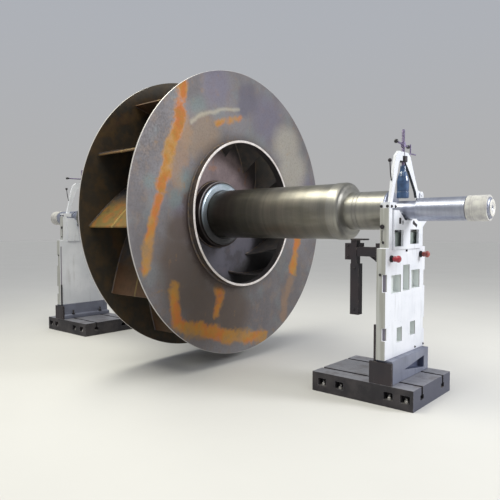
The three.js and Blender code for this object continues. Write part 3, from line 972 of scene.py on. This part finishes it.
def flat_ring(one_side, other_side, inner, outer, soft=0.0015):
    """A ring about the wheel's axis, between two places from its middle."""
    low, high = sorted((one_side, other_side))
    profile = [(low, inner), (low, outer), (high, outer), (high, inner)]
    return turned(profile, soft, ON_WHEEL, 256, closed=True)


def plates_and_rings():
    middle_plate = flat_ring(-PLATE_HALF, PLATE_HALF, HUB_R, PLATE_R)
    piece("middle_plate", middle_plate, "rotor", CENTRE_PLATE, "bare_steel", "centre_plate")
    for end, sign, look in (("near", 1, NEAR_DISC), ("far", -1, FAR_DISC)):
        rim_disc = flat_ring(sign * DISC_IN, sign * DISC_OUT, EYE_R, IMPELLER_R)
        piece(f"{end}_rim_disc", rim_disc, "rotor", look, "bare_steel", f"{end}_disc")
        eye_ring = flat_ring(sign * DISC_IN, sign * RING_OUT, EYE_R - RING_WALL, EYE_R, 0.004)
        piece(f"{end}_eye_ring", eye_ring, "rotor", EYE_RING, "bright_steel", f"{end}_inlet_ring")


def sweep_table():
    """The angle that the blade has turned through at each step, from the tip inwards."""
    turns = [0.0]
    for i in range(1, SWEEP_STEPS + 1):
        radius = BLADE_TIP_R - i * SWEEP_STEP
        lean = math.radians(TIP_LEAN_DEG + (ROOT_LEAN_DEG - TIP_LEAN_DEG) * i / SWEEP_STEPS)
        turns.append(turns[-1] + SWEEP_STEP / math.tan(lean) / radius)
    return turns


SWEEP = sweep_table()


def blade_turn(radius):
    """The angle that the blade has turned through at a radius."""
    place = min(max((BLADE_TIP_R - radius) / SWEEP_STEP, 0), SWEEP_STEPS - 1e-6)
    i = int(place)
    return SWEEP[i] + (SWEEP[i + 1] - SWEEP[i]) * (place - i)


def blade_point(index, radius, x, off):
    """A point at a distance off a blade's middle surface, along its normal."""
    start = math.radians(BLADE_TIP_DEG + index * 360 / BLADE_COUNT)
    small = 0.002

    def flat(r):
        angle = blade_turn(r) + start
        return Vector((0, -r * math.cos(angle), r * math.sin(angle)))

    ahead = (flat(radius + small) - flat(radius - small)).normalized()
    normal = Vector((0, -ahead.z, ahead.y))
    return flat(radius) + normal * off + Vector((IMPELLER_X + x, 0, AXIS_Z))


def spread(low, high, steps):
    """Numbers evenly spaced from low to high."""
    return [low + (high - low) * i / steps for i in range(steps + 1)]


def blade(index):
    """A curved plate, as a grid of points on each side, joined round its rim."""
    columns = 12
    rows = 30
    bm = bmesh.new()
    sides = []
    for off in (-BLADE_T / 2, BLADE_T / 2):
        grid = []
        for c in range(columns + 1):
            x = BLADE_HALF * (2 * c / columns - 1)
            heel = HEEL_R_AT_PLATE + (HEEL_R_AT_DISC - HEEL_R_AT_PLATE) * abs(x) / BLADE_HALF
            radii = spread(heel, BLADE_TIP_R, rows)
            grid.append([bm.verts.new(blade_point(index, radius, x, off)) for radius in radii])
        sides.append(grid)
        for a, b in zip(grid, grid[1:]):
            for r in range(rows):
                bm.faces.new([a[r], b[r], b[r + 1], a[r + 1]])
    low, high = sides
    for c in range(columns):
        for r in (0, rows):
            bm.faces.new([low[c][r], low[c + 1][r], high[c + 1][r], high[c][r]])
    for r in range(rows):
        for c in (0, columns):
            bm.faces.new([low[c][r], low[c][r + 1], high[c][r + 1], high[c][r]])
    bmesh.ops.recalc_face_normals(bm, faces=bm.faces)
    corner = math.radians(60)
    soften(bm, [edge for edge in bm.edges if edge.calc_face_angle() > corner], 0.0015)
    name = f"{index + 1:02d}"
    piece(f"vane_{name}", bm, "rotor", BLADE, "bare_steel", f"blade_{name}")


def blade_welds():
    """Fillets along each blade, at both discs and on both faces of the centre plate."""
    leg = 0.009
    seated = 0.002
    short = 0.004
    runs = (
        ("rim", BLADE_HALF, -seated, HEEL_R_AT_DISC, BLADE_TIP_R - short),
        ("plate", PLATE_HALF, seated, HEEL_R_AT_PLATE + 0.01, PLATE_R - short),
    )
    for name, place, outward, heel, tip in runs:
        bm = bmesh.new()
        radii = spread(heel, tip, 40)
        for index in range(BLADE_COUNT):
            for sign in (-1, 1):
                for off in (-BLADE_T / 2 - seated, BLADE_T / 2 + seated):
                    path = [blade_point(index, radius, sign * (place + outward), off) for radius in radii]
                    sweep(bm, path, leg * chance.uniform(0.85, 1.1))
        piece(f"blade_welds_{name}", bm, "rotor", WELD, "bare_steel")
    bm = bmesh.new()
    radii = spread(PLATE_R + 0.006, BLADE_TIP_R - short, 10)
    for index in range(BLADE_COUNT):
        for off in (-BLADE_T / 2, BLADE_T / 2):
            sweep(bm, [blade_point(index, radius, 0, off) for radius in radii], radius=0.005)
    piece("blade_seams", bm, "rotor", BLADE, "bare_steel")


def ring_welds():
    """Round seams: eye rings to discs, and hub to centre plate."""
    bm = bmesh.new()
    seams = []
    for sign in (-1, 1):
        seams.append((sign * (DISC_OUT + 0.001), EYE_R + 0.001, 0.011))
        seams.append((sign * (DISC_IN - 0.001), EYE_R + 0.001, 0.008))
        seams.append((sign * (PLATE_HALF + 0.004), HUB_R + 0.003, 0.013))
    for x, radius, bead in seams:
        profile = [(x + bead * math.cos(a), radius + bead * math.sin(a)) for a in circle(10)]
        spin(bm, profile, ON_WHEEL, 220, closed=True)
    piece("ring_welds", bm, "rotor", WELD, "bare_steel")


def rotor():
    shaft()
    end_sleeves()
    hub()
    plates_and_rings()
    for index in range(BLADE_COUNT):
        blade(index)
    blade_welds()
    ring_welds()


# Stands: each function draws the near one, and pair() mirrors it

# How far a fixing sits in the face that carries it
SEATED = 0.001


def casting(name, node, soft, body, look, slot):
    """A pair of pieces with a CAD node's own shape and rounded edges."""
    pair(name, dressed(f"near_{node}", soft), body, look, slot, node)


def bed():
    # A wider edge would cross the faces that join the corners of the anchor pockets
    casting("bed_casting", "bed", 0.0015, "stand", BED_IRON, "bed_black")
    anchors = bmesh.new()
    anchor_y = BED_HIGH.y - 0.036
    pocket_z = 0.062
    for x in (2.003, 2.184, 2.660, 2.812):
        for y in (-anchor_y, anchor_y):
            bolt(anchors, (x, y, pocket_z), UP, 0.024, stud=0.024)
    pair("bed_anchors", anchors, "stand", BRIGHT_BOLT, "bright_steel")


def foot():
    casting("foot_casting", "foot", 0.006, "stand", FOOT_PAINT, "foot_grey_blue")
    bolts = bmesh.new()
    flange_z = 0.236
    for y in (-SLOT_Y, SLOT_Y):
        bolt(bolts, (FOOT_LOW.x + 0.026, y, flange_z), UP, 0.024, stud=0.050)
    pair("foot_bolts", bolts, "stand", DARK_BOLT, "bed_black")


def column():
    casting("column_casting", "column", 0.004, "stand", COLUMN_PAINT, "column_white")
    screws = bmesh.new()
    screw_y = -0.010
    screw_z = 1.316
    socket_screw(screws, (FRONT_X - SEATED, screw_y, screw_z), ALONG_SHAFT, 0.012)
    socket_screw(screws, (BACK_X + SEATED, screw_y, screw_z), -ALONG_SHAFT, 0.012)
    low_row_z = 0.412
    for y in (0.2, 0.385):
        bolt(screws, (FRONT_X - SEATED, y, low_row_z), ALONG_SHAFT, 0.010)
    shoulder_z = 1.120
    horn_z = 1.393
    for side in (-1, 1):
        bolt(screws, (STAND_X - 0.008, side * (COLUMN_HALF_W - SEATED), shoulder_z), (0, side, 0), 0.011)
        bolt(screws, (STAND_X - 0.012, side * (HORN_HALF_W - SEATED), horn_z), (0, side, 0), 0.011)
    boss = along((STAND_X - 0.019, -HORN_HALF_W + SEATED, 1.528), (0, -1, 0))
    spin(screws, eased([(0, 0), (0, 0.020), (0.010, 0.020), (0.012, 0.013), (0.012, 0)], 0.002), boss, 28)
    strip_low = (STAND_X - 0.026, -HORN_HALF_W - 0.0012, 1.403)
    strip_high = (STAND_X - 0.018, -HORN_HALF_W + 0.002, 1.497)
    bar(screws, strip_low, strip_high, soft=0.0008)
    pair("column_screws", screws, "stand", DARK_BOLT, "bed_black")


def saddle():
    casting("saddle_casting", "saddle", 0.003, "stand", WHITE_PAINT, "column_white")
    # Painted shade: thin dark sheets on the front cheek stand for the shade inside its slots
    front_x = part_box("near_saddle")[1].x
    slot_x = front_x - 0.0006
    slots = bmesh.new()
    upright = [(-0.192, 1.554), (-0.150, 1.554), (-0.150, 1.607), (-0.192, 1.607)]
    slanted = [(0.085, 1.560), (0.176, 1.522), (0.192, 1.548), (0.100, 1.586)]
    for outline in (upright, slanted):
        plate(slots, outline, thickness=0.0009, where=across_shaft(slot_x), soft=0.0002)
    pair("saddle_slot_shade", slots, "stand", DARK_BOLT, "bed_black")
    web = bmesh.new()
    low_z, high_z = 1.3525, 1.480
    for low_y, high_y in ((-0.286, -0.042), (0.042, 0.286)):
        bar(web, (STAND_X + 0.002, low_y, low_z), (STAND_X + 0.010, high_y, high_z), soft=0.001)
    pair("saddle_web", web, "stand", WEB_PAINT, "bed_black")
    stop = bmesh.new()
    bar(stop, (STAND_X + 0.012, -0.262, 1.356), (STAND_X + 0.018, -0.182, 1.470), soft=0.001)
    pair("saddle_stop_plate", stop, "stand", WHITE_PAINT, "column_white")


def rollers():
    face = 0.030
    for name in ("left", "right"):
        low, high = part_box(f"near_roller_{name}")
        centre = (low + high) / 2
        radius = high.z - centre.z
        end = (high.x - low.x) / 2
        half = [
            (face, radius), (face, 0.064), (face - 0.006, 0.062), (face - 0.006, 0.036), (face, 0.034),
            (face, 0.020), (end - 0.003, 0.020), (end, 0.012), (end, 0),
        ]
        bm = turned(half_and_mirror(half), 0.0015, along(centre, ALONG_SHAFT), 96)
        pair(f"ground_roller_{name}", bm, f"roller_{name}", ROLLER_STEEL, "roller_steel", f"roller_{name}")


def knobs():
    collar = [(0, 0), (0, 0.030), (0.014, 0.030), (0.014, 0.016), (0.024, 0.016), (0.024, 0)]
    grip = [
        (0.018, 0), (0.020, 0.015), (0.028, 0.0235), (0.038, 0.0255), (0.046, 0.0235), (0.050, 0.022),
        (0.055, 0.0265), (0.062, 0.0300), (0.070, 0.0308), (0.080, 0.0275), (0.088, 0.018), (0.092, 0.0),
    ]
    for name, look in (("left", RED_GLOSS), ("right", ORANGE_GLOSS)):
        low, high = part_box(f"near_knob_{name}")
        centre = (low + high) / 2
        where = along((low.x, centre.y, centre.z), ALONG_SHAFT)
        pair(f"knob_collar_{name}", turned(collar, 0.002, where, 40), "stand", DARK_BOLT, "bed_black")
        bm = turned(grip, 0.002, where, 48)
        pair(f"knob_grip_{name}", bm, "stand", look, "knob_red", f"knob_{name}")


def in_stand(points):
    """Points (y, z) in the middle plane of the near stand."""
    return [Vector((STAND_X, y, z)) for y, z in points]


def holddown():
    casting("holddown_arch", "holddown_frame", 0.003, "holddown", ARCH_PAINT, "column_white")
    casting("pivot_casting", "pivot_bracket", 0.003, "stand", WHITE_PAINT, "column_white")
    studs = bmesh.new()
    flange_z = 1.703
    flange_y = -0.3448
    for x in (2.551, 2.606):
        bolt(studs, (x, flange_y, flange_z), (0, -1, 0), 0.012)
    for y in (-0.312, -0.238):
        bolt(studs, (FRONT_X - 0.0003, y, flange_z), ALONG_SHAFT, 0.012)
    pair("foot_studs", studs, "holddown", DARK_BOLT, "bed_black")
    nut = bmesh.new()
    apex_z = 2.1085
    disc(nut, along((STAND_X, 0, apex_z)), radius=0.0375, height=0.052, soft=0.002, sides=40)
    pair("apex_nut", nut, "holddown", DARK_BOLT, "bed_black")
    latch = bmesh.new()
    sweep(latch, in_stand([(-0.232, 1.93), (-0.252, 2.01), (-0.262, 2.095)]), radius=0.005, sides=12)
    ball(latch, along((STAND_X, -0.263, 2.102)), radius=0.017)
    pair("latch_lever", latch, "holddown", DARK_BOLT, "bed_black")
    stop = bmesh.new()
    level_arm = in_stand([(0.118, 2.176), (0.152, 2.200), (0.262, 2.200)])
    upright_arm = in_stand([(0.152, 2.196), (0.152, 2.240), (0.152, 2.284)])
    for arm in (level_arm, upright_arm):
        sweep(stop, arm, radius=0.0065, sides=12)
    pair("stop_lever", stop, "holddown", SPINDLE_STEEL, "bright_steel")


def pressure_screw():
    body = [
        (1.784, 0), (1.784, 0.046), (1.790, 0.054), (1.840, 0.054), (1.842, 0.051), (1.848, 0.051),
        (1.850, 0.054), (1.940, 0.054), (1.980, 0.046), (2.008, 0.036), (2.024, 0.028), (2.074, 0.024),
        (2.078, 0.018), (2.078, 0),
    ]
    bm = turned(body, 0.002, along((STAND_X, 0, 0)), 64)
    pair("screw_body", bm, "screw", BLUE_GLOSS, "holddown_blue")
    handle = Matrix.Translation((STAND_X, 0, HANDLE_Z)) @ Matrix.Rotation(math.radians(HANDLE_DEG), 4, "Z")
    left, centre, right = [handle @ Vector((0, y, 0)) for y in (-0.236, 0, 0.166)]
    thread_z = 2.07
    tip_z = 2.388
    boss_z = HANDLE_Z - 0.022
    spindle = bmesh.new()
    thread(spindle, along((STAND_X, 0, thread_z)), radius=0.014, length=0.322, pitch=0.005, sides=28)
    disc(spindle, along((STAND_X, 0, tip_z)), radius=0.0125, height=0.012, soft=0.003)
    disc(spindle, along((STAND_X, 0, boss_z)), radius=0.021, height=0.044, soft=0.003, sides=40)
    sweep(spindle, [left, centre, right], radius=0.0085, sides=16)
    pair("screw_spindle", spindle, "screw", SPINDLE_STEEL, "bright_steel", "pressure_screw")
    grips = bmesh.new()
    profile = [(-0.034, 0), (-0.034, 0.011), (-0.012, 0.016), (0, 0.019), (0.009, 0.015), (0.013, 0)]
    for end in (left, right):
        spin(grips, eased(profile, 0.003), along(end, (end - centre).normalized()), 28)
    pair("screw_grips", grips, "screw", BLACK_GLOSS, "bed_black")


def side_arm():
    piece("hanging_arm", dressed("side_arm", 0.003), "stand", DARK_PAINT, "bed_black", "side_arm")
    details = bmesh.new()
    gusset = [(2.500, 1.222), (2.500, 1.2665), (2.430, 1.2665)]
    plate(details, gusset, thickness=0.012, where=beside_shaft(-0.309), soft=0.001)
    top_block = ((2.331, -0.334, 1.352), (2.364, -0.296, 1.386))
    bar(details, *top_block, soft=0.002)
    face_y = -0.351
    for x, size, heights in ((2.232, 0.011, (1.262, 1.356)), (2.298, 0.010, (0.79, 1.16))):
        for z in heights:
            bolt(details, (x, face_y, z), (0, -1, 0), size)
    end_plate = ((2.254, -0.352, 0.7465), (2.339, -0.278, 0.757))
    bar(details, *end_plate, soft=0.001)
    piece("arm_details", details, "stand", DARK_BOLT, "bed_black")


def stands():
    bed()
    foot()
    column()
    saddle()
    rollers()
    knobs()
    holddown()
    pressure_screw()
    casting("clamp_cover", "clamp_block", 0.003, "stand", DARK_PAINT, "bed_black")
    side_arm()


# Stage: floor, light and camera

def floor():
    bm = bmesh.new()
    bmesh.ops.create_grid(bm, x_segments=2, y_segments=2, size=60)
    mesh = bpy.data.meshes.new("studio_floor")
    bm.to_mesh(mesh)
    bm.free()
    mesh.materials.append(floor_look())
    made = bpy.data.objects.new("studio_floor", mesh)
    scene.collection.objects.link(made)


def light(name, kind, place, target, **settings):
    """Add a lamp that shines from a place to a target."""
    lamp = bpy.data.lights.new(name, kind)
    for key, value in settings.items():
        setattr(lamp, key, value)
    made = bpy.data.objects.new(name, lamp)
    made.location = place
    made.rotation_euler = (Vector(place) - Vector(target)).to_track_quat("Z", "Y").to_euler()
    scene.collection.objects.link(made)


def sky():
    """A grey sky that turns slightly blue with height."""
    world = bpy.data.worlds.new("studio")
    world.use_nodes = True
    tree = world.node_tree
    place = add_node(tree, "TexCoord").outputs["Generated"]
    height = add_node(tree, "SeparateXYZ", {0: place}).outputs["Z"]
    limits = {"Value": height, "From Min": 0.0, "From Max": 0.45}
    fade = add_node(tree, "MapRange", limits, interpolation_type="SMOOTHSTEP").outputs["Result"]
    horizon = (0.44, 0.44, 0.44, 1)
    zenith = (0.42, 0.44, 0.48, 1)
    tones = {0: fade, 6: horizon, 7: zenith}
    background = tree.nodes["Background"].inputs
    tree.links.new(add_node(tree, "Mix", tones, data_type="RGBA").outputs[2], background["Color"])
    background["Strength"].default_value = 1.0
    scene.world = world


def studio():
    sky()
    scene.view_settings.view_transform = "Standard"
    light(
        "daylight", "SUN", (0.22, -0.28, 0.93), (0, 0, 0), energy=1.0, angle=math.radians(50),
        color=(1.0, 0.98, 0.90),
    )
    light(
        "from_shaft_end", "AREA", (8.7, 2.6, 4.6), (0.7, 0, 1.6), shape="DISK", size=2.6, energy=450,
        color=(0.97, 0.98, 1.0),
    )
    light(
        "skylight", "AREA", (-0.6, -1.9, 6.3), (1.4, -0.2, 1.8), shape="RECTANGLE", size=7.0, size_y=1.9,
        energy=380, color=(1.0, 0.98, 0.84),
    )


# The camera as it was fitted to the photo
CAMERA_PLACE = (4.6834, -4.5771, 1.5113)
CAMERA_TILT_DEG = 87.73
CAMERA_HEADING_DEG = 40.485
FOCAL_LENGTH = 38.603


def camera():
    lens = bpy.data.cameras.new("camera")
    lens.sensor_width = 36
    lens.lens = FOCAL_LENGTH
    made = bpy.data.objects.new("camera", lens)
    made.location = CAMERA_PLACE
    made.rotation_euler = (math.radians(CAMERA_TILT_DEG), 0, math.radians(CAMERA_HEADING_DEG))
    scene.collection.objects.link(made)
    scene.camera = made


camera()
rotor()
stands()
floor()
studio()
